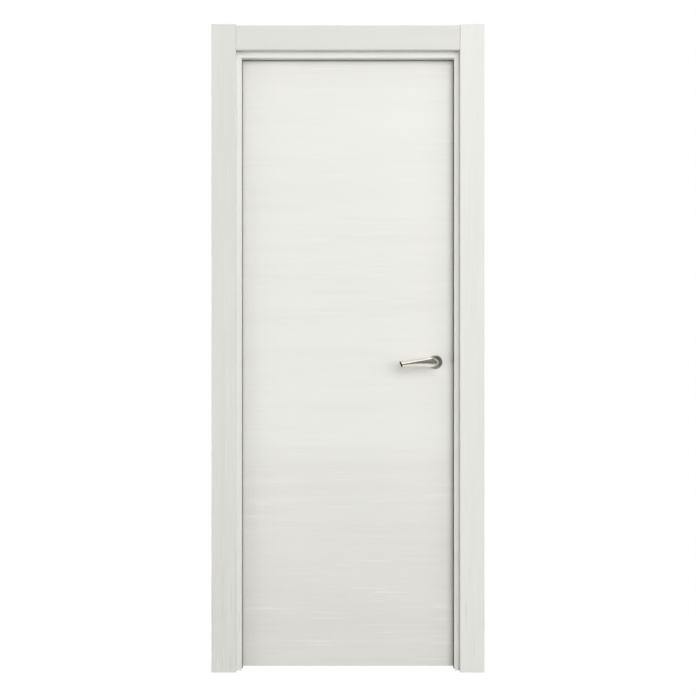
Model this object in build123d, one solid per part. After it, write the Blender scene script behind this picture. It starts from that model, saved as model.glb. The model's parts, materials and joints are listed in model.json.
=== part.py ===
from build123d import *
import os
from math import cos, radians, sin

# An interior door set: a flush leaf in a rebated frame, with a casing on each face of the wall.
# Millimetres. X runs from the hinge side to the lock side, Y from the push face to the pull face, Z is up.
# The origin is on the outer face of the hinge jamb, at floor level, midway through the wall.

# Leaf
leaf_width = 725.0
leaf_height = 2030.0
leaf_thickness = 40.0
skin_thickness = 4.0
hinge_stile_width = 45.0
lock_stile_width = 115.0
rail_height = 80.0
leaf_edge_radius = 1.2

# Running gaps round the leaf
floor_gap = 5.0
hinge_gap = 5.0
lock_gap = 6.5
head_gap = 5.0
stop_gap = 5.0

# Jamb section
jamb_board = 24.0
lip_projection = 16.0
lip_depth = 19.0
lip_front_radius = 1.5
jamb_edge_radius = 1.0

# Casing section, the joint at the head's ends, and how far each casing stands back from the edge that it frames
casing_width = 80.0
casing_thickness = 15.0
casing_edge_radius = 1.2
casing_joint = 0.8
wall_step = 3.0
side_reveal = 16.0
head_reveal = 20.0
rear_reveal = 12.0
side_overrun = 4.0
tongue_setback = 3.0
tongue_thickness = 6.0
tongue_bite = 10.0
groove_bottom_gap = 0.5

# Seal: a half-round bulb on a stem pressed into the lip, with a fin that shows past the lip's edge
seal_setback = 5.5
seal_stem_width = 3.0
seal_stem_depth = 6.0
seal_clearance = 0.4
seal_wall = 1.0
seal_fin = 2.5

# Hinges: lift-off, the pin standing on the frame half
hinge_height = 100.0
hinge_from_top = 200.0
hinge_from_bottom = 250.0
hinge_plate_thickness = 2.5
hinge_plate_depth = 28.0
hinge_plate_corner = 8.0
mortise_clearance = 0.2
knuckle_radius = 6.0
knuckle_standoff = 0.5
knuckle_end_radius = 2.0
knuckle_split = 0.3
pin_radius = 3.5
pin_length = 38.0
pin_clearance = 0.05
pin_tip_gap = 1.0

# Latch and strike
handle_height = 1018.0
backset = 70.0
forend_width = 20.0
forend_height = 170.0
forend_thickness = 3.0
bolt_width = 11.0
bolt_height = 24.0
bolt_length = 40.0
bolt_clearance = 0.3
strike_width = 26.0
strike_thickness = 2.0
strike_corner = 8.0
keep_width = 15.0
keep_height = 32.0
keep_depth = 15.0

# Lever handles
spindle_size = 8.0
spindle_bite = 20.0
spindle_clearance = 0.1
spindle_hole_radius = 11.0
rosette_radius = 22.5
rosette_rim = 3.0
rosette_height = 9.0
collar_radius = 12.5
dome_radius = 13.0
neck_radius = 9.5
neck_clearance = 0.08
neck_floor_gap = 0.5
neck_length = 14.0
stem_radius = 9.0
stem_sink = 5.0
lever_reach = 118.5
lever_overrun = 8.0
lever_projection = 48.0
lever_return = 2.0
bend_radius = 20.0
root_top_height = 17.0
root_top_depth = 2.0
root_crease_height = 6.5
root_crease_depth = -6.5
root_foot_height = -14.5
root_foot_depth = -1.5
root_back_height = -9.0
root_back_depth = 5.5
root_upper_crown = 1.0
root_lower_crown = 1.6
root_under_crown = 1.8
root_back_crown = 2.6
tip_top_height = 2.0
tip_top_depth = 5.0
tip_crease_height = -10.5
tip_crease_depth = -8.0
tip_foot_height = -16.5
tip_foot_depth = -0.5
tip_back_height = -5.5
tip_back_depth = 8.0
tip_upper_crown = 1.4
tip_lower_crown = 2.0
tip_under_crown = 1.4
tip_back_crown = 0.9
crease_pace = 1.4
foot_arch = 2.2
end_face_turn = 12.0
end_face_lean = 15.0
end_cap_thickness = 2.0

# Places worked out from the sizes above
jamb_depth = lip_depth + stop_gap + leaf_thickness
jamb_front = -jamb_depth / 2
jamb_rear = jamb_depth / 2
lip_back = jamb_front + lip_depth
lip_edge = jamb_board + lip_projection
leaf_left = jamb_board + hinge_gap
leaf_right = leaf_left + leaf_width
leaf_front = lip_back + stop_gap
leaf_rear = leaf_front + leaf_thickness
leaf_middle = (leaf_front + leaf_rear) / 2
leaf_bottom = floor_gap
leaf_top = leaf_bottom + leaf_height
keep_face = leaf_right + lock_gap
frame_width = keep_face + jamb_board
frame_top = leaf_top + head_gap + jamb_board
head_lip_edge = frame_top - lip_edge
front_wall = jamb_front - wall_step
rear_wall = jamb_rear + wall_step
groove_depth = tongue_bite + groove_bottom_gap
axis_x = jamb_board + hinge_gap / 2
axis_y = jamb_rear + knuckle_standoff + knuckle_radius
spindle_x = leaf_right - backset
stem_square = stem_radius * cos(radians(45))

# Edges of the lever's section as height and depth, in the order top, crease, foot, back, and the bow of each side
stem_edges = [
    Vector(stem_square, stem_square),
    Vector(stem_square, -stem_square),
    Vector(-stem_square, -stem_square),
    Vector(-stem_square, stem_square),
]
root_edges = [
    Vector(root_top_height, root_top_depth),
    Vector(root_crease_height, root_crease_depth),
    Vector(root_foot_height, root_foot_depth),
    Vector(root_back_height, root_back_depth),
]
tip_edges = [
    Vector(tip_top_height, tip_top_depth),
    Vector(tip_crease_height, tip_crease_depth),
    Vector(tip_foot_height, tip_foot_depth),
    Vector(tip_back_height, tip_back_depth),
]
stem_crowns = [stem_radius - stem_square] * 4
root_crowns = [root_upper_crown, root_lower_crown, root_under_crown, root_back_crown]
tip_crowns = [tip_upper_crown, tip_lower_crown, tip_under_crown, tip_back_crown]

# Each run of the frame is drawn across its section: u inwards from the wall, v from push face to pull face
hinge_run = Plane(origin=(0, 0, 0), x_dir=(1, 0, 0), z_dir=(0, 0, 1))
lock_run = Plane(origin=(frame_width, 0, 0), x_dir=(-1, 0, 0), z_dir=(0, 0, -1))
hinge_mitre = Plane(origin=(0, 0, frame_top), z_dir=(1, 0, 1))
lock_mitre = Plane(origin=(frame_width, 0, frame_top), z_dir=(-1, 0, 1))


def head_run(x):
    """The section plane of the head, at a distance x from the hinge jamb's outer face."""
    return Plane(origin=(x, 0, frame_top), x_dir=(0, 0, -1), z_dir=(1, 0, 0))


def block(x, y, z):
    """A box from its low and high limits along each axis."""
    size = [high - low for low, high in (x, y, z)]
    centre = [(low + high) / 2 for low, high in (x, y, z)]
    return Pos(*centre) * Box(*size)


def area(u, v):
    """A rectangle from its low and high limits, in the section's own u and v."""
    return Pos((u[0] + u[1]) / 2, (v[0] + v[1]) / 2) * Rectangle(u[1] - u[0], v[1] - v[0])


def corners_at(face, *places):
    """The corners of a flat face that lie at the named u, v places."""
    return [p for p in face.vertices() for u, v in places if abs(p.X - u) < 0.001 and abs(p.Y - v) < 0.001]


# Frame


def tongue_limits(casing_edge):
    """Where a casing's tongue lies along u, for a casing whose inner edge is at casing_edge."""
    return casing_edge - tongue_setback - tongue_thickness, casing_edge - tongue_setback


def jamb_section(front_casing_edge, rear_casing_edge):
    """The jamb's section: board and lip, a groove for each casing's tongue and a slot for the seal."""
    outline = area((0, jamb_board), (jamb_front, jamb_rear))
    outline += area((0, lip_edge), (jamb_front, lip_back))
    outline = fillet(corners_at(outline, (lip_edge, jamb_front)), lip_front_radius)
    outline = fillet(corners_at(outline, (lip_edge, lip_back), (jamb_board, jamb_rear)), jamb_edge_radius)
    seal_u = lip_edge - seal_setback
    outline -= area(tongue_limits(front_casing_edge), (jamb_front, jamb_front + groove_depth))
    outline -= area(tongue_limits(rear_casing_edge), (jamb_rear - groove_depth, jamb_rear))
    outline -= area(
        (seal_u - seal_stem_width / 2, seal_u + seal_stem_width / 2), (lip_back - seal_stem_depth, lip_back)
    )
    return outline


def seal_section():
    """A hollow half-round bulb that sits on the lip, with its stem in the slot and its fin past the lip's edge."""
    seal_u = lip_edge - seal_setback
    bulb_radius = stop_gap - seal_clearance
    half = area((seal_u - bulb_radius, seal_u + bulb_radius), (lip_back, lip_back + bulb_radius))
    bulb = Pos(seal_u, lip_back) * (Circle(bulb_radius) - Circle(bulb_radius - seal_wall))
    half_bulb = bulb & half
    flange = area((seal_u - bulb_radius, seal_u + bulb_radius), (lip_back, lip_back + seal_wall))
    flange &= Pos(seal_u, lip_back) * Circle(bulb_radius)
    fin = area((seal_u, lip_edge + seal_fin), (lip_back, lip_back + seal_wall))
    stem = area(
        (seal_u - seal_stem_width / 2, seal_u + seal_stem_width / 2), (lip_back - seal_stem_depth, lip_back)
    )
    return half_bulb + flange + fin + stem


def mitred_runs(side_section, head_section):
    """The three runs of a section round the opening, mitred at the two top corners."""
    hinge_side = split(extrude(hinge_run * side_section, frame_top), hinge_mitre, Keep.BOTTOM)
    lock_side = split(extrude(lock_run * side_section, -frame_top), lock_mitre, Keep.BOTTOM)
    head = split(extrude(head_run(0) * head_section, frame_width), hinge_mitre, Keep.TOP)
    head = split(head, lock_mitre, Keep.TOP)
    return hinge_side, lock_side, head


def casing_face(casing_edge, wall_face, outward):
    """The casing board's section: flat on the wall, with its two outer corners eased."""
    outer_face = wall_face + outward * casing_thickness
    outline = area((casing_edge - casing_width, casing_edge), sorted((wall_face, outer_face)))
    outer_corners = corners_at(outline, (casing_edge, outer_face), (casing_edge - casing_width, outer_face))
    return fillet(outer_corners, casing_edge_radius)


def casing_tongue(casing_edge, wall_face, outward):
    """The tongue behind the casing, which reaches across the wall's step into the jamb's groove."""
    return area(tongue_limits(casing_edge), sorted((wall_face, wall_face - outward * (wall_step + tongue_bite))))


def casing_set(side_edge, head_edge, wall_face, outward):
    """Two side casings that run past the head casing, and the head casing set between them with open joints."""
    head_top = frame_top - head_edge + casing_width
    side_top = head_top + side_overrun
    side_face = casing_face(side_edge, wall_face, outward)
    side_tongue = casing_tongue(side_edge, wall_face, outward)
    hinge_side = extrude(hinge_run * side_face, side_top) + extrude(hinge_run * side_tongue, head_lip_edge)
    lock_side = extrude(lock_run * side_face, -side_top) + extrude(lock_run * side_tongue, -head_lip_edge)
    head_face = casing_face(head_edge, wall_face, outward)
    head_tongue = casing_tongue(head_edge, wall_face, outward)
    head_end = side_edge + casing_joint
    head = extrude(head_run(head_end) * head_face, frame_width - 2 * head_end)
    head += extrude(head_run(lip_edge) * head_tongue, frame_width - 2 * lip_edge)
    return hinge_side, lock_side, head


# Hinges


def plate_outline(clearance=0.0):
    """A hinge plate seen along X: square at the knuckle, rounded at its two buried corners."""
    low = jamb_rear - hinge_plate_depth - clearance
    half = hinge_height / 2 + clearance
    plate = area((low, jamb_rear), (-half, half))
    return fillet(corners_at(plate, (low, -half), (low, half)), hinge_plate_corner + clearance)


def hinge_plate(x, z, clearance=0.0):
    """A hinge plate between two X limits, centred at height z."""
    across = Plane(origin=(x[0], 0, z), x_dir=(0, 1, 0), z_dir=(1, 0, 0))
    return extrude(across * plate_outline(clearance), x[1] - x[0])


def frame_plate_limits():
    return jamb_board - hinge_plate_thickness, jamb_board


def leaf_plate_limits():
    return leaf_left, leaf_left + hinge_plate_thickness


def knuckle(low, high, rounded_end):
    """One half of the barrel, with its outer end rounded."""
    barrel = Pos(axis_x, axis_y, (low + high) / 2) * Cylinder(knuckle_radius, high - low)
    rim = barrel.edges().filter_by(GeomType.CIRCLE).sort_by(Axis.Z)[rounded_end]
    return fillet(rim, knuckle_end_radius)


def hinge_frame_half(z):
    """Plate in the jamb, the lower knuckle, and the pin standing on it."""
    split_low = z - knuckle_split / 2
    bottom = z - hinge_height / 2
    half = hinge_plate(frame_plate_limits(), z)
    half += block(frame_plate_limits(), (jamb_rear, axis_y), (bottom, split_low))
    half += knuckle(bottom, split_low, 0)
    half += Pos(axis_x, axis_y, split_low + pin_length / 2) * Cylinder(pin_radius, pin_length)
    return half


def hinge_leaf_half(z):
    """Plate in the leaf's edge and the upper knuckle, bored to drop over the pin."""
    split_high = z + knuckle_split / 2
    top = z + hinge_height / 2
    half = hinge_plate(leaf_plate_limits(), z)
    half += block(leaf_plate_limits(), (jamb_rear, axis_y), (split_high, top))
    half += knuckle(split_high, top, -1)
    bore_top = z - knuckle_split / 2 + pin_length + pin_tip_gap
    bore_radius = pin_radius + pin_clearance
    half -= Pos(axis_x, axis_y, (z + bore_top) / 2) * Cylinder(bore_radius, bore_top - z)
    return half


hinge_heights = {
    "bottom": leaf_bottom + hinge_from_bottom,
    "middle": (leaf_bottom + hinge_from_bottom + leaf_top - hinge_from_top) / 2,
    "top": leaf_top - hinge_from_top,
}


# Latch and strike


def edge_plate(x, width, height):
    """A round-ended plate let into an edge, between two X limits."""
    across = Plane(origin=(x[0], leaf_middle, handle_height), x_dir=(0, 0, 1), z_dir=(1, 0, 0))
    return extrude(across * SlotOverall(height, width), x[1] - x[0])


def around_latch(x, width, height):
    """A box centred on the latch in Y and Z, between two X limits."""
    half_width = width / 2
    half_height = height / 2
    return block(
        x,
        (leaf_middle - half_width, leaf_middle + half_width),
        (handle_height - half_height, handle_height + half_height),
    )


def bolt_space():
    """The room that the latch bolt slides in, through the forend and into the stile."""
    return around_latch(
        (leaf_right - bolt_length - bolt_clearance, leaf_right),
        bolt_width + 2 * bolt_clearance,
        bolt_height + 2 * bolt_clearance,
    )


def latch_forend():
    """The round-ended plate in the leaf's lock edge, with the bolt's opening."""
    return edge_plate((leaf_right - forend_thickness, leaf_right), forend_width, forend_height) - bolt_space()


def latch_bolt():
    """The spring bolt drawn back flush with the forend, its slope towards the push face."""
    low_y = leaf_middle - bolt_width / 2
    high_y = leaf_middle + bolt_width / 2
    outline = Polyline(
        (leaf_right - bolt_length, low_y),
        (leaf_right - bolt_width, low_y),
        (leaf_right, high_y),
        (leaf_right - bolt_length, high_y),
        close=True,
    )
    foot = Pos(0, 0, handle_height - bolt_height / 2)
    return extrude(foot * make_face(outline), bolt_height)


def strike_blank():
    """The strike plate's outline: rounded at its buried corners, flush with the jamb's pull face."""
    half = forend_height / 2
    low = jamb_rear - strike_width
    outline = area((low, jamb_rear), (-half, half))
    outline = fillet(corners_at(outline, (low, -half), (low, half)), strike_corner)
    across = Plane(origin=(keep_face, 0, handle_height), x_dir=(0, 1, 0), z_dir=(1, 0, 0))
    return extrude(across * outline, strike_thickness)


def keep_space():
    """The pocket behind the strike that the bolt springs into."""
    return around_latch((keep_face, keep_face + keep_depth), keep_width, keep_height)


# Lever handles, drawn for the push face and mirrored for the pull face


def on_spindle(radius, low, high):
    """A round bar on the spindle's axis between two Y limits."""
    return Pos(spindle_x, (low + high) / 2, handle_height) * Rot(X=90) * Cylinder(radius, high - low)


def push_rosette():
    """A domed round cover with a bore for the lever's neck."""
    bore = neck_radius + neck_clearance
    outline = Polyline((bore, 0), (rosette_radius, 0), (rosette_radius, rosette_rim))
    dome = RadiusArc((rosette_radius, rosette_rim), (collar_radius, rosette_height), -dome_radius)
    crown = Polyline((collar_radius, rosette_height), (bore, rosette_height), (bore, 0))
    outwards = Plane(origin=(spindle_x, leaf_front, handle_height), x_dir=(1, 0, 0), z_dir=(0, 0, -1))
    return revolve(outwards * make_face(outline + dome + crown), Axis(outwards.origin, (0, -1, 0)))


def bar_section(edges, crowns):
    """A four-sided section whose bowed sides meet in crisp edges."""
    sides = []
    for start, end, crown in zip(edges, edges[1:] + edges[:1], crowns):
        run = end - start
        bow = Vector(-run.Y, run.X).normalized() * crown
        sides.append(ThreePointArc(start, (start + end) / 2 + bow, end))
    return Face(Wire(sides))


def lever_station(reach, out, heading):
    """The plane across the lever at one place: heading is 0 along the neck and 90 along the grip."""
    along = Vector(-sin(radians(heading)), -cos(radians(heading)), 0)
    place = (spindle_x - reach, leaf_front - out, handle_height)
    return Plane(origin=place, x_dir=(0, 0, 1), z_dir=along)


def between(low, high, share):
    """The value or the place a share of the way from low to high."""
    return low + (high - low) * share


def all_between(lows, highs, share):
    return [between(low, high, share) for low, high in zip(lows, highs)]


def grip_section(share):
    """The grip's section at a share of the way from bend to tip: the crease sinks and the foot is arched."""
    top, crease, foot, back = all_between(root_edges, tip_edges, share)
    crease = between(root_edges[1], tip_edges[1], share**crease_pace)
    foot += Vector(4 * foot_arch * share * (1 - share), 0)
    station = lever_station(
        between(bend_radius, lever_reach + lever_overrun, share),
        lever_projection - lever_return * share * share,
        90,
    )
    return station * bar_section([top, crease, foot, back], all_between(root_crowns, tip_crowns, share))


def bend_section(turn):
    """The section part of the way round the bend, between the round stem and the grip's root."""
    share = sin(radians(turn))
    station = lever_station(
        bend_radius * (1 - cos(radians(turn))),
        lever_projection - bend_radius + bend_radius * sin(radians(turn)),
        turn,
    )
    return station * bar_section(
        all_between(stem_edges, root_edges, share), all_between(stem_crowns, root_crowns, share)
    )


def lever_form():
    """Stem, bend and twisting grip in one smooth skin, rising out of a slightly wider neck."""
    neck = on_spindle(neck_radius, leaf_front - neck_length, leaf_front - neck_floor_gap)
    bend_start = lever_projection - bend_radius
    stem_places = (neck_length - stem_sink, between(neck_length, bend_start, 0.5))
    stem = bar_section(stem_edges, stem_crowns)
    sections = [lever_station(0, out, 0) * stem for out in stem_places]
    sections += [bend_section(turn) for turn in (0, 30, 60)]
    sections += [grip_section(share) for share in (0, 0.2, 0.4, 0.6, 0.8, 1.0)]
    return neck + loft(sections)


def end_cut(inset):
    """The slanting plane that trims the grip's free end, set back from the tip by inset."""
    turn = radians(end_face_turn)
    lean = radians(end_face_lean)
    outwards = Vector(-cos(turn) * cos(lean), -sin(turn) * cos(lean), -sin(lean))
    middle = (tip_top_height + tip_foot_height) / 2
    tip = Vector(spindle_x - lever_reach, leaf_front - lever_projection + lever_return, handle_height + middle)
    return Plane(origin=tip - outwards * inset, z_dir=outwards)


def push_lever():
    """The metal lever and the dark cap that closes its free end."""
    form = lever_form()
    trimmed = split(form, end_cut(0), Keep.BOTTOM)
    cap = split(trimmed, end_cut(end_cap_thickness), Keep.TOP)
    lever = split(trimmed, end_cut(end_cap_thickness), Keep.BOTTOM)
    half = spindle_size / 2 + spindle_clearance
    socket = block(
        (spindle_x - half, spindle_x + half),
        (leaf_front - spindle_bite - spindle_clearance, leaf_front),
        (handle_height - half, handle_height + half),
    )
    return lever - socket, cap


def spindle():
    """The square bar that ties the two levers together through the leaf."""
    half = spindle_size / 2
    return block(
        (spindle_x - half, spindle_x + half),
        (leaf_front - spindle_bite, leaf_rear + spindle_bite),
        (handle_height - half, handle_height + half),
    )


# Assembly of the nodes

pull_side = Plane(origin=(0, leaf_middle, 0), z_dir=(0, 1, 0))
nodes = {}

front_side_edge = lip_edge - side_reveal
front_head_edge = lip_edge - head_reveal
rear_edge = jamb_board - rear_reveal
hinge_jamb, lock_jamb, head_jamb = mitred_runs(
    jamb_section(front_side_edge, rear_edge), jamb_section(front_head_edge, rear_edge)
)
for z in hinge_heights.values():
    hinge_jamb -= hinge_plate(frame_plate_limits(), z, mortise_clearance)
lock_jamb -= strike_blank() + keep_space()
nodes["hinge_jamb"] = hinge_jamb
nodes["lock_jamb"] = lock_jamb
nodes["head_jamb"] = head_jamb

seals = mitred_runs(seal_section(), seal_section())
front_casings = casing_set(front_side_edge, front_head_edge, front_wall, -1)
rear_casings = casing_set(rear_edge, rear_edge, rear_wall, 1)
for side, seal, front, rear in zip(("hinge_side", "lock_side", "head"), seals, front_casings, rear_casings):
    nodes[f"{side}_seal"] = seal
    nodes[f"{side}_front_casing"] = front
    nodes[f"{side}_rear_casing"] = rear

nodes["strike_plate"] = strike_blank() - keep_space()

leaf_x = (leaf_left, leaf_right)
leaf_z = (leaf_bottom, leaf_top)
core_y = (leaf_front + skin_thickness, leaf_rear - skin_thickness)
core_x = (leaf_left + hinge_stile_width, leaf_right - lock_stile_width)
core_z = (leaf_bottom + rail_height, leaf_top - rail_height)
spindle_hole = on_spindle(spindle_hole_radius, leaf_front, leaf_rear)


def eased_skin(y, outer_face):
    """A face panel with the four edges of its outer face rounded."""
    panel = block(leaf_x, y, leaf_z)
    return fillet(panel.faces().sort_by(Axis.Y)[outer_face].edges(), leaf_edge_radius) - spindle_hole


push_skin = eased_skin((leaf_front, core_y[0]), 0)
pull_skin = eased_skin((core_y[1], leaf_rear), -1)
hinge_stile = block((leaf_left, core_x[0]), core_y, leaf_z)
for z in hinge_heights.values():
    mortise = hinge_plate(leaf_plate_limits(), z, mortise_clearance)
    hinge_stile -= mortise
    pull_skin -= mortise
lock_stile = block((core_x[1], leaf_right), core_y, leaf_z) - spindle_hole - bolt_space()
lock_stile -= edge_plate((leaf_right - forend_thickness, leaf_right), forend_width, forend_height)
nodes["push_face_skin"] = push_skin
nodes["pull_face_skin"] = pull_skin
nodes["hinge_stile"] = hinge_stile
nodes["lock_stile"] = lock_stile
nodes["top_rail"] = block(core_x, core_y, (core_z[1], leaf_top))
nodes["bottom_rail"] = block(core_x, core_y, (leaf_bottom, core_z[0]))
nodes["leaf_core"] = block(core_x, core_y, core_z)

for place, z in hinge_heights.items():
    nodes[f"{place}_hinge_frame_half"] = hinge_frame_half(z)
    nodes[f"{place}_hinge_leaf_half"] = hinge_leaf_half(z)

nodes["latch_forend"] = latch_forend()
nodes["latch_bolt"] = latch_bolt()

rosette = push_rosette()
lever, cap = push_lever()
nodes["push_rosette"] = rosette
nodes["pull_rosette"] = mirror(rosette, about=pull_side)
nodes["push_lever"] = lever
nodes["pull_lever"] = mirror(lever, about=pull_side)
nodes["push_lever_cap"] = cap
nodes["pull_lever_cap"] = mirror(cap, about=pull_side)
nodes["spindle"] = spindle()

os.makedirs("parts", exist_ok=True)
for name, shape in nodes.items():
    export_step(shape, f"parts/{name}.step")
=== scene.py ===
import json
import math

import bpy
from mathutils import Matrix, Vector


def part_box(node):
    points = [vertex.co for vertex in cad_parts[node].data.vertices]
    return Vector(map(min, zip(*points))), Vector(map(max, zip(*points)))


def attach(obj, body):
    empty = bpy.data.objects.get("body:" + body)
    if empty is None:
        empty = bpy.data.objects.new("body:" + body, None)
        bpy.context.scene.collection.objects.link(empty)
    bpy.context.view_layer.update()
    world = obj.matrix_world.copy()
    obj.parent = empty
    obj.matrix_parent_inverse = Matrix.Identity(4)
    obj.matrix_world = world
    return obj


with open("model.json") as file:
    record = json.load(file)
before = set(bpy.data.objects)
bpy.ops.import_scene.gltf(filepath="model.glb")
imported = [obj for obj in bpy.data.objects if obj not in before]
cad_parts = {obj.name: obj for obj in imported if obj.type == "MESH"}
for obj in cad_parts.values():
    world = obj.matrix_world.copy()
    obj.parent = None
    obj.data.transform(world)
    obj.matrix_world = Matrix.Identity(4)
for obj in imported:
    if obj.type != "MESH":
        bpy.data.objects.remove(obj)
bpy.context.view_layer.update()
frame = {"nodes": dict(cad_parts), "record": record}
nodes = frame["nodes"]
scene = bpy.context.scene
bpy.ops.object.select_all(action="DESELECT")

# Camera: square to the door, at the height and distance that the reveals' perspective gives
CAMERA_DISTANCE = 2.600
CAMERA_HEIGHT = 1.065
SENSOR_WIDTH = 36.0
PICTURE_WIDTH_AT_CASING = 2.284

# The range that a noise pattern mostly keeps to
NOISE_LOW = 0.3
NOISE_HIGH = 0.7

# Foil figure: cycles per metre along and across the grain
BAND_CYCLES = (0.8, 11.0)
STREAK_CYCLES = (2.0, 64.0)
PORE_CYCLES = (13.0, 460.0)
FLECK_CYCLES = (5.0, 130.0)
DASH_CYCLES = (9.0, 150.0)

# Noise levels at which a pale fleck or a dark dash begins and is full
FLECK_LEVELS = (0.68, 0.78)
DASH_LEVELS = (0.60, 0.72)

# Shares of the figure: bands, streaks and pores add up to 1; flecks add to it and dashes take from it
BAND_SHARE = 0.42
STREAK_SHARE = 0.29
PORE_SHARE = 0.29
FLECK_SHARE = 0.26
BOARD_DASHES = 0.42
LEAF_DASHES = 0.10

# Painted shade: the figure darkens towards the floor between these heights, on the leaf and the hinge side
# casings, standing for the light falling off near the floor
FOOT_TOP = 0.95
FOOT_BOTTOM = 0.12
LEAF_PAINTED_FOOT_SHADE = 0.41
HINGE_SIDE_PAINTED_FOOT_SHADE = 0.16

# Foil colours from the figure's darkest to its palest
FOIL_SHADES = (
    (0.00, (0.746, 0.738, 0.700)),
    (0.50, (0.846, 0.842, 0.802)),
    (0.66, (0.862, 0.858, 0.820)),
)

# Painted shadow: a soft darker margin on the leaf's push face, beside the lips and a little way behind them,
# standing for the shade that the lips cast on the leaf
PAINTED_SHADOW_WIDTH = 0.030
PAINTED_SHADOW_BEHIND_LIP = 0.004
HINGE_PAINTED_SHADOW = 0.17
LOCK_PAINTED_SHADOW = 0.15

# Screws in the hinge plates, the forend and the strike
SCREW_RADIUS = 0.0038
SCREW_SIDES = 32
SCREW_PROUD = 0.0007
SCREW_SUNK = 0.0012
SCREW_SMOOTH_ANGLE = math.radians(35)
CROSS_LENGTH = 0.0042
CROSS_WIDTH = 0.0009
CROSS_HEIGHT = SCREW_PROUD * 1.8
# Steps of the domed head: height as a share of the full rise, and width as a share of the rim
DOME_STEPS = ((0.55, 0.80), (0.85, 0.55), (1.0, 0.25))
FIRST_SCREW_TURN = 11.0
NEXT_SCREW_TURN = 23.0
HINGE_SCREW_SPREAD = 0.034
NEAR_SCREW_SETBACK = 0.008
FAR_SCREW_SETBACK = 0.019
EDGE_SCREW_SPREAD = 0.066
LEAF_SIDE_GAP = 0.005

# Floor: its size, how far below the door it lies, and the distances over which its mirrored glow fades
FLOOR_SIZE = 40.0
FLOOR_DROP = 0.001
FLOOR_GREY = 0.24
FLOOR_GLOW_FULL = 1.2
FLOOR_GLOW_END = 2.6

# Light
WHITE = (1.0, 1.0, 1.0, 1.0)
SKY_COLOUR = (1.0, 0.995, 0.985, 1.0)
SKY_ON_BOARDS = 0.06
SKY_IN_METAL = 0.30
OVERHEAD_HEIGHT = 3.7
OVERHEAD_WIDTH = 2.2
OVERHEAD_WATTS = 18.0


# Finishes


def start_finish(name):
    """A new material, its nodes, its shader and the piece's own coordinates for its patterns."""
    finish = bpy.data.materials.new(name)
    finish.use_nodes = True
    tree = finish.node_tree
    shader = tree.nodes["Principled BSDF"]
    place = tree.nodes.new("ShaderNodeTexCoord")
    return finish, tree, shader, place.outputs["Object"]


def stretched_noise(tree, place, cycles, detail):
    """Noise with its own number of cycles per metre along each axis."""
    mapping = tree.nodes.new("ShaderNodeMapping")
    mapping.inputs["Scale"].default_value = cycles
    noise = tree.nodes.new("ShaderNodeTexNoise")
    noise.inputs["Scale"].default_value = 1.0
    noise.inputs["Detail"].default_value = detail
    noise.inputs["Roughness"].default_value = 0.55
    tree.links.new(place, mapping.inputs["Vector"])
    tree.links.new(mapping.outputs["Vector"], noise.inputs["Vector"])
    return noise.outputs["Fac"]


def grain_noise(tree, place, grain_axis, cycles, detail):
    """Noise drawn out along the grain, with its cycles per metre along and across it."""
    along, across = cycles
    by_axis = tuple(along if axis == grain_axis else across for axis in "XYZ")
    return stretched_noise(tree, place, by_axis, detail)


def colour_between(tree, factor, stops):
    """A colour that runs through the stops as the factor rises."""
    ramp = tree.nodes.new("ShaderNodeValToRGB")
    while len(ramp.color_ramp.elements) < len(stops):
        ramp.color_ramp.elements.new(0.5)
    for element, (position, colour) in zip(ramp.color_ramp.elements, stops):
        element.position = position
        element.color = (*colour, 1.0)
    tree.links.new(factor, ramp.inputs["Fac"])
    return ramp.outputs["Color"]


def mottled_colour(tree, pattern, dark, light):
    """A colour that runs from dark to light over a noise pattern's usual range."""
    return colour_between(tree, pattern, ((NOISE_LOW, dark), (NOISE_HIGH, light)))


def value_between(tree, pattern, low, high):
    """A number that runs from low to high over a noise pattern's usual range."""
    spread = tree.nodes.new("ShaderNodeMapRange")
    spread.inputs["From Min"].default_value = NOISE_LOW
    spread.inputs["From Max"].default_value = NOISE_HIGH
    spread.inputs["To Min"].default_value = low
    spread.inputs["To Max"].default_value = high
    tree.links.new(pattern, spread.inputs["Value"])
    return spread.outputs["Result"]


def ramp_between(tree, factor, start, stop, low=0.0, high=1.0):
    """A number that goes smoothly from low to high as the factor goes from start to stop."""
    ramp = tree.nodes.new("ShaderNodeMapRange")
    ramp.interpolation_type = "SMOOTHSTEP"
    ramp.inputs["From Min"].default_value = start
    ramp.inputs["From Max"].default_value = stop
    ramp.inputs["To Min"].default_value = low
    ramp.inputs["To Max"].default_value = high
    tree.links.new(factor, ramp.inputs["Value"])
    return ramp.outputs["Result"]


def combined(tree, operation, first, second):
    """Two numbers put together by one operation."""
    sums = tree.nodes.new("ShaderNodeMath")
    sums.operation = operation
    tree.links.new(first, sums.inputs[0])
    tree.links.new(second, sums.inputs[1])
    return sums.outputs["Value"]


def value_sum(tree, parts):
    """Several patterns added up, each with its own share."""
    total = None
    for pattern, share in parts:
        scaled = tree.nodes.new("ShaderNodeMath")
        scaled.operation = "MULTIPLY_ADD"
        scaled.inputs[1].default_value = share
        scaled.inputs[2].default_value = 0.0
        tree.links.new(pattern, scaled.inputs[0])
        if total is not None:
            tree.links.new(total, scaled.inputs[2])
        total = scaled.outputs["Value"]
    return total


def dimmed(tree, colour, level):
    """The colour times a level."""
    scaled = tree.nodes.new("ShaderNodeVectorMath")
    scaled.operation = "SCALE"
    tree.links.new(colour, scaled.inputs["Vector"])
    tree.links.new(level, scaled.inputs["Scale"])
    return scaled.outputs["Vector"]


def raise_surface(tree, shader, height, strength, depth):
    """Fine relief from a height pattern; depth is in metres."""
    bump = tree.nodes.new("ShaderNodeBump")
    bump.inputs["Strength"].default_value = strength
    bump.inputs["Distance"].default_value = depth
    tree.links.new(height, bump.inputs["Height"])
    tree.links.new(bump.outputs["Normal"], shader.inputs["Normal"])


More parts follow.
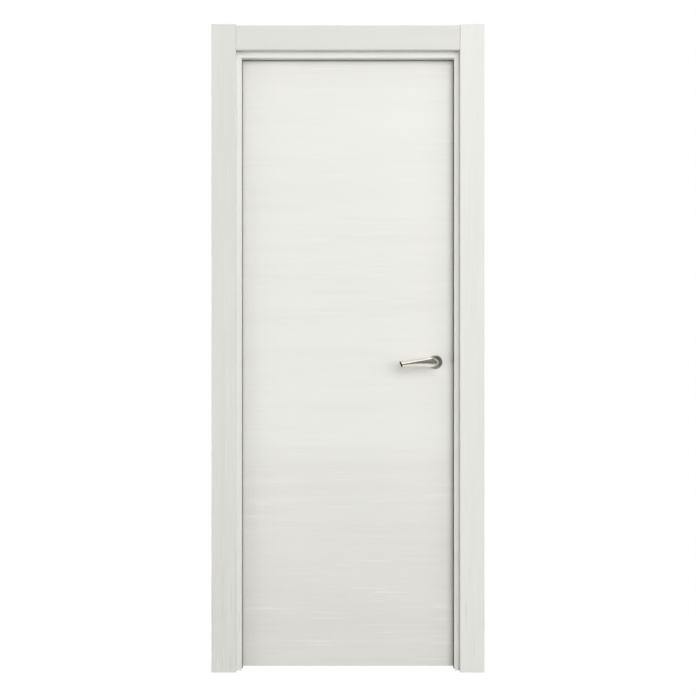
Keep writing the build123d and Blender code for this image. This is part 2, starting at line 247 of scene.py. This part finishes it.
def white_laminate(name, grain_axis, painted_light_level, painted_foot_shade=0.0, dash_share=BOARD_DASHES, painted_shadows=()):
    """Off-white wood-grain foil: soft bands, faint streaks, fine pores and pale flecks along the grain.

    Towards the floor the figure grows darker by a painted shade, standing for the light falling off there,
    and short dark dashes come into it.
    Each painted shadow gives the X where it begins, the X where it is full, and how much it darkens the foil;
    it is a painted shade beside the lips.
    """
    finish, tree, shader, place = start_finish(name)
    split = tree.nodes.new("ShaderNodeSeparateXYZ")
    tree.links.new(place, split.inputs["Vector"])
    bands = grain_noise(tree, place, grain_axis, BAND_CYCLES, 2.0)
    streaks = grain_noise(tree, place, grain_axis, STREAK_CYCLES, 5.0)
    pores = grain_noise(tree, place, grain_axis, PORE_CYCLES, 3.0)
    flecks = ramp_between(tree, grain_noise(tree, place, grain_axis, FLECK_CYCLES, 0.0), *FLECK_LEVELS)
    dashes = ramp_between(tree, grain_noise(tree, place, grain_axis, DASH_CYCLES, 1.0), *DASH_LEVELS)
    # Painted shade towards the floor, which also brings in the dark dashes of the grain
    foot = ramp_between(tree, split.outputs["Z"], FOOT_TOP, FOOT_BOTTOM)
    figure = value_sum(
        tree,
        (
            (bands, BAND_SHARE),
            (streaks, STREAK_SHARE),
            (pores, PORE_SHARE),
            (flecks, FLECK_SHARE),
            (foot, -painted_foot_shade),
            (combined(tree, "MULTIPLY", dashes, foot), -dash_share),
        ),
    )
    # Painted light and shade: this level makes the copy of the foil lighter or darker for how the light falls
    # on its board.
    stops = [(position, tuple(painted_light_level * channel for channel in shade)) for position, shade in FOIL_SHADES]
    colour = colour_between(tree, figure, stops)
    # Painted shadow: the foil darkens towards the lips, where their shade falls on the leaf.
    for start, full, shade in painted_shadows:
        colour = dimmed(tree, colour, ramp_between(tree, split.outputs["X"], start, full, 1.0, 1.0 - shade))
    tree.links.new(colour, shader.inputs["Base Color"])
    tree.links.new(value_between(tree, pores, 0.42, 0.56), shader.inputs["Roughness"])
    raise_surface(tree, shader, pores, 0.20, 0.0002)
    shader.inputs["Specular IOR Level"].default_value = 0.35
    return finish


def satin_metal(name, dark, light, smooth, rough):
    """Satin plating: small changes of tone and of gloss over the surface."""
    finish, tree, shader, place = start_finish(name)
    mottle = stretched_noise(tree, place, (90.0, 90.0, 90.0), 4.0)
    brushing = stretched_noise(tree, place, (300.0, 2400.0, 2400.0), 2.0)
    tree.links.new(mottled_colour(tree, mottle, dark, light), shader.inputs["Base Color"])
    tree.links.new(value_between(tree, brushing, smooth, rough), shader.inputs["Roughness"])
    raise_surface(tree, shader, brushing, 0.04, 0.00005)
    shader.inputs["Metallic"].default_value = 1.0
    return finish


def black_cap():
    """Dull black moulding with a faint unevenness."""
    finish, tree, shader, place = start_finish("black_cap")
    mottle = stretched_noise(tree, place, (160.0, 160.0, 160.0), 3.0)
    colour = mottled_colour(tree, mottle, (0.003, 0.003, 0.003), (0.008, 0.008, 0.007))
    tree.links.new(colour, shader.inputs["Base Color"])
    tree.links.new(value_between(tree, mottle, 0.42, 0.55), shader.inputs["Roughness"])
    shader.inputs["Specular IOR Level"].default_value = 0.05
    return finish


def seal_rubber():
    """Matt grey extrusion."""
    finish, tree, shader, place = start_finish("seal_rubber")
    mottle = stretched_noise(tree, place, (60.0, 60.0, 12.0), 4.0)
    colour = mottled_colour(tree, mottle, (0.17, 0.17, 0.16), (0.22, 0.22, 0.21))
    tree.links.new(colour, shader.inputs["Base Color"])
    tree.links.new(value_between(tree, mottle, 0.6, 0.75), shader.inputs["Roughness"])
    return finish


def filling_board():
    """Brown fibrous filling inside the leaf."""
    finish, tree, shader, place = start_finish("filling_board")
    fibres = stretched_noise(tree, place, (220.0, 220.0, 220.0), 6.0)
    colour = mottled_colour(tree, fibres, (0.30, 0.20, 0.12), (0.46, 0.34, 0.22))
    tree.links.new(colour, shader.inputs["Base Color"])
    tree.links.new(value_between(tree, fibres, 0.8, 0.95), shader.inputs["Roughness"])
    raise_surface(tree, shader, fibres, 0.4, 0.001)
    return finish


# Where the painted shadow on the leaf's push face begins and is full, beside the hinge and lock lips
hinge_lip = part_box("hinge_jamb")[1].x
lock_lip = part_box("lock_jamb")[0].x
push_face_painted_shadows = (
    (hinge_lip + PAINTED_SHADOW_WIDTH, hinge_lip - PAINTED_SHADOW_BEHIND_LIP, HINGE_PAINTED_SHADOW),
    (lock_lip - PAINTED_SHADOW_WIDTH, lock_lip + PAINTED_SHADOW_BEHIND_LIP, LOCK_PAINTED_SHADOW),
)
leaf_laminate_painted_shade = white_laminate("leaf_laminate_painted_shade", "X", 1.0, LEAF_PAINTED_FOOT_SHADE, LEAF_DASHES)
push_face_laminate_painted_shade = white_laminate("push_face_laminate_painted_shade", "X", 1.0, LEAF_PAINTED_FOOT_SHADE, LEAF_DASHES, push_face_painted_shadows)
# Painted light and shade: copies of the one foil, made darker on the head boards, the upright boards, the
# hinge jamb and the hinge side casings, and lighter on the other jambs, for how the light falls on each
# board.
head_laminate_painted_shade = white_laminate("head_laminate_painted_shade", "X", 0.875)
upright_laminate_painted_shade = white_laminate("upright_laminate_painted_shade", "Z", 0.953)
jamb_laminate_painted_light = white_laminate("jamb_laminate_painted_light", "Z", 1.04)
hinge_jamb_laminate_painted_shade = white_laminate("hinge_jamb_laminate_painted_shade", "Z", 0.98)
head_jamb_laminate_painted_light = white_laminate("head_jamb_laminate_painted_light", "X", 1.06)
hinge_side_laminate_painted_shade = white_laminate("hinge_side_laminate_painted_shade", "Z", 0.885, HINGE_SIDE_PAINTED_FOOT_SHADE)
lever_nickel = satin_metal("lever_nickel", (0.74, 0.71, 0.64), (0.82, 0.79, 0.72), 0.11, 0.18)
# Painted reflection: the rosette's nickel is the lever's made darker, standing for the dark surroundings that
# it mirrors.
rosette_nickel_painted_dark_reflection = satin_metal("rosette_nickel_painted_dark_reflection", (0.30, 0.285, 0.23), (0.37, 0.35, 0.29), 0.30, 0.40)
hinge_nickel = satin_metal("hinge_nickel", (0.58, 0.56, 0.53), (0.66, 0.64, 0.61), 0.24, 0.36)
bright_steel = satin_metal("bright_steel", (0.52, 0.52, 0.53), (0.62, 0.62, 0.63), 0.18, 0.28)
plain_finishes = {
    "satin_nickel": lever_nickel,
    "hinge_steel": hinge_nickel,
    "plain_steel": bright_steel,
    "dark_cap": black_cap(),
    "seal": seal_rubber(),
    "core": filling_board(),
}


def laminate_for(node):
    """Upright boards have upright grain; the leaf's faces, the head and the rails have level grain."""
    if node == "head_jamb":
        return head_jamb_laminate_painted_light
    if node == "hinge_jamb":
        return hinge_jamb_laminate_painted_shade
    if node.endswith("jamb"):
        return jamb_laminate_painted_light
    if node.startswith("head"):
        return head_laminate_painted_shade
    if node.startswith("hinge_side"):
        return hinge_side_laminate_painted_shade
    if node == "push_face_skin":
        return push_face_laminate_painted_shade
    if node.endswith(("casing", "stile")):
        return upright_laminate_painted_shade
    return leaf_laminate_painted_shade


for subpart in frame["record"]["subparts"]:
    node = subpart["node"]
    finish = plain_finishes.get(subpart["material_slot"]) or laminate_for(node)
    # The rosette gets the darker nickel, a painted dark reflection.
    if node.endswith("rosette"):
        finish = rosette_nickel_painted_dark_reflection
    nodes[node].data.materials.clear()
    nodes[node].data.materials.append(finish)


# Screws


def make_screw():
    """A raised countersunk head with a cross recess, its axis along Z and its rim level with Z = 0."""
    bpy.ops.mesh.primitive_cylinder_add(
        vertices=SCREW_SIDES, radius=SCREW_RADIUS, depth=SCREW_SUNK, location=(0, 0, -SCREW_SUNK / 2)
    )
    screw = bpy.context.object
    bpy.ops.object.mode_set(mode="EDIT")
    bpy.ops.mesh.select_all(action="DESELECT")
    bpy.ops.object.mode_set(mode="OBJECT")
    for face in screw.data.polygons:
        face.select = face.normal.z > 0.9
    bpy.ops.object.mode_set(mode="EDIT")
    low, wide = 0.0, 1.0
    for high, narrow in DOME_STEPS:
        bpy.ops.mesh.extrude_region_move(TRANSFORM_OT_translate={"value": (0, 0, (high - low) * SCREW_PROUD)})
        bpy.ops.transform.resize(value=(narrow / wide, narrow / wide, 1.0))
        low, wide = high, narrow
    bpy.ops.object.mode_set(mode="OBJECT")
    bpy.ops.object.transform_apply(location=True, rotation=True, scale=True)
    for turn in (0.0, math.pi / 2):
        bpy.ops.object.select_all(action="DESELECT")
        bpy.ops.mesh.primitive_cube_add(size=1.0, location=(0, 0, SCREW_PROUD), rotation=(0, 0, turn))
        blade = bpy.context.object
        blade.scale = (CROSS_LENGTH, CROSS_WIDTH, CROSS_HEIGHT)
        cut = screw.modifiers.new("cross", "BOOLEAN")
        cut.operation = "DIFFERENCE"
        cut.object = blade
        bpy.context.view_layer.objects.active = screw
        bpy.ops.object.modifier_apply(modifier=cut.name)
        bpy.data.objects.remove(blade)
    bpy.ops.object.select_all(action="DESELECT")
    screw.select_set(True)
    bpy.ops.object.shade_smooth_by_angle(angle=SCREW_SMOOTH_ANGLE)
    return screw


def set_screws(name, pattern, places, facing, body, finish):
    """Copies of the screw at places on one plate, joined into one piece that rides on the plate's body."""
    turn = Vector((0, 0, 1)).rotation_difference(facing).to_matrix().to_4x4()
    copies = []
    for index, place in enumerate(places):
        copy = bpy.data.objects.new(name, pattern.data.copy())
        scene.collection.objects.link(copy)
        own_turn = Matrix.Rotation(math.radians(NEXT_SCREW_TURN * index + FIRST_SCREW_TURN), 4, "Z")
        copy.data.transform(Matrix.Translation(place) @ turn @ own_turn)
        copies.append(copy)
    bpy.ops.object.select_all(action="DESELECT")
    for copy in copies:
        copy.select_set(True)
    bpy.context.view_layer.objects.active = copies[0]
    bpy.ops.object.join()
    row = bpy.context.object
    row.name = name
    row.data.materials.clear()
    row.data.materials.append(finish)
    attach(row, body)


def hinge_screw_places(plate, x):
    """Three staggered places on a hinge plate, kept to the part that lies inside the leaf's thickness."""
    low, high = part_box(plate)
    middle = (low.z + high.z) / 2
    near = low.y + NEAR_SCREW_SETBACK
    far = low.y + FAR_SCREW_SETBACK
    return [
        Vector((x, near, middle - HINGE_SCREW_SPREAD)),
        Vector((x, far, middle)),
        Vector((x, near, middle + HINGE_SCREW_SPREAD)),
    ]


def edge_screw_places(x):
    """Two places above and below the latch, level with the middle of its forend."""
    low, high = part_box("latch_forend")
    middle = (low + high) / 2
    return [Vector((x, middle.y, middle.z + side * EDGE_SCREW_SPREAD)) for side in (-1, 1)]


screw_pattern = make_screw()
leaf_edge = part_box("hinge_stile")[0].x
jamb_face = leaf_edge - LEAF_SIDE_GAP
towards_lock = Vector((1, 0, 0))
towards_hinges = Vector((-1, 0, 0))
for place in ("bottom", "middle", "top"):
    set_screws(
        f"{place}_hinge_frame_screws",
        screw_pattern,
        hinge_screw_places(f"{place}_hinge_frame_half", jamb_face),
        towards_lock,
        "frame",
        bright_steel,
    )
    set_screws(
        f"{place}_hinge_leaf_screws",
        screw_pattern,
        hinge_screw_places(f"{place}_hinge_leaf_half", leaf_edge),
        towards_hinges,
        "leaf",
        bright_steel,
    )
forend_places = edge_screw_places(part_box("latch_forend")[1].x)
set_screws("forend_screws", screw_pattern, forend_places, towards_lock, "leaf", bright_steel)
strike_places = edge_screw_places(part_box("strike_plate")[0].x)
set_screws("strike_screws", screw_pattern, strike_places, towards_hinges, "frame", bright_steel)
bpy.data.objects.remove(screw_pattern)


# Floor, light and camera

front_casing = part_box("hinge_side_front_casing")[0]
door_centre_x = (front_casing.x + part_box("lock_side_front_casing")[1].x) / 2

# Lights for each face: place as X, distance from the door and height; height aimed at; width; watts
FACE_LIGHTS = {
    "key": ((6.8, 17.0, 6.8), 0.9, 16.0, 2600.0),
    "head_light": ((door_centre_x + 0.3, 3.0, 5.0), 0.6, 2.4, 33.0),
    "right_side": ((3.6, 1.8, 1.5), 0.6, 2.0, 40.0),
    "left_side": ((-2.8, 1.5, 0.4), 0.3, 1.6, 52.0),
}


def mixed_shader(tree, share, first, second):
    """The first shader, giving way to the second by its share."""
    mix = tree.nodes.new("ShaderNodeMixShader")
    tree.links.new(share, mix.inputs["Fac"])
    tree.links.new(first, mix.inputs[1])
    tree.links.new(second, mix.inputs[2])
    return mix.outputs["Shader"]


def pale_floor():
    """A wide floor just under the door: white to the eye, grey as a lit surface.

    The metal mirrors it as white too, but only round the door's foot.
    """
    bpy.ops.object.select_all(action="DESELECT")
    bpy.ops.mesh.primitive_plane_add(size=FLOOR_SIZE, location=(door_centre_x, 0, -FLOOR_DROP))
    floor = bpy.context.object
    floor.name = "floor"
    finish, tree, shader, place = start_finish("floor_paint")
    shader.inputs["Base Color"].default_value = (FLOOR_GREY, FLOOR_GREY, FLOOR_GREY, 1.0)
    shader.inputs["Roughness"].default_value = 0.8
    glow = tree.nodes.new("ShaderNodeEmission")
    glow.inputs["Color"].default_value = WHITE
    glow.inputs["Strength"].default_value = 1.0
    away = tree.nodes.new("ShaderNodeVectorMath")
    away.operation = "LENGTH"
    tree.links.new(place, away.inputs[0])
    near = ramp_between(tree, away.outputs["Value"], FLOOR_GLOW_FULL, FLOOR_GLOW_END, 1.0, 0.0)
    path = tree.nodes.new("ShaderNodeLightPath")
    mirrored = combined(tree, "MULTIPLY", path.outputs["Is Glossy Ray"], near)
    seen = combined(tree, "MAXIMUM", path.outputs["Is Camera Ray"], mirrored)
    surface = mixed_shader(tree, seen, shader.outputs["BSDF"], glow.outputs["Emission"])
    tree.links.new(surface, tree.nodes["Material Output"].inputs["Surface"])
    floor.data.materials.append(finish)


def studio_sky():
    """A plain surround: white to the eye, dimmer in the metal and dimmer still as light on the boards."""
    sky = bpy.data.worlds.new("studio")
    scene.world = sky
    sky.use_nodes = True
    tree = sky.node_tree
    seen = tree.nodes["Background"]
    seen.inputs["Color"].default_value = WHITE
    seen.inputs["Strength"].default_value = 1.0
    glows = []
    for level in (SKY_ON_BOARDS, SKY_IN_METAL):
        glow = tree.nodes.new("ShaderNodeBackground")
        glow.inputs["Color"].default_value = SKY_COLOUR
        glow.inputs["Strength"].default_value = level
        glows.append(glow.outputs["Background"])
    path = tree.nodes.new("ShaderNodeLightPath")
    unseen = mixed_shader(tree, path.outputs["Is Glossy Ray"], *glows)
    surround = mixed_shader(tree, path.outputs["Is Camera Ray"], unseen, seen.outputs["Background"])
    tree.links.new(surround, tree.nodes["World Output"].inputs["Surface"])


def soft_light(name, place, target, width, watts, mirrored):
    """A square soft box at one place, turned towards another, that the metal may or may not mirror."""
    lamp = bpy.data.lights.new(name, "AREA")
    lamp.size = width
    lamp.energy = watts
    holder = bpy.data.objects.new(name, lamp)
    holder.location = place
    holder.visible_glossy = mirrored
    holder.rotation_euler = (Vector(target) - Vector(place)).to_track_quat("-Z", "Y").to_euler()
    scene.collection.objects.link(holder)


def studio_lights():
    """One light above the door, and the same set of lights in front of each of its faces."""
    above = (door_centre_x, 0.0, OVERHEAD_HEIGHT)
    below = (door_centre_x, 0.0, 0.0)
    soft_light("overhead", above, below, OVERHEAD_WIDTH, OVERHEAD_WATTS, True)
    for face, side in (("push_face", -1.0), ("pull_face", 1.0)):
        for name, ((x, distance, height), aim, width, watts) in FACE_LIGHTS.items():
            place = (x, side * distance, height)
            soft_light(f"{face}_{name}", place, (door_centre_x, 0.0, aim), width, watts, False)


def photo_camera():
    """The camera square to the door's front."""
    lens = bpy.data.cameras.new("photo_camera")
    lens.sensor_width = SENSOR_WIDTH
    lens.lens = SENSOR_WIDTH * CAMERA_DISTANCE / PICTURE_WIDTH_AT_CASING
    holder = bpy.data.objects.new("photo_camera", lens)
    holder.location = (door_centre_x, front_casing.y - CAMERA_DISTANCE, CAMERA_HEIGHT)
    holder.rotation_euler = (math.pi / 2, 0, 0)
    scene.collection.objects.link(holder)
    scene.camera = holder


pale_floor()
studio_sky()
studio_lights()
photo_camera()
scene.view_settings.view_transform = "Standard"
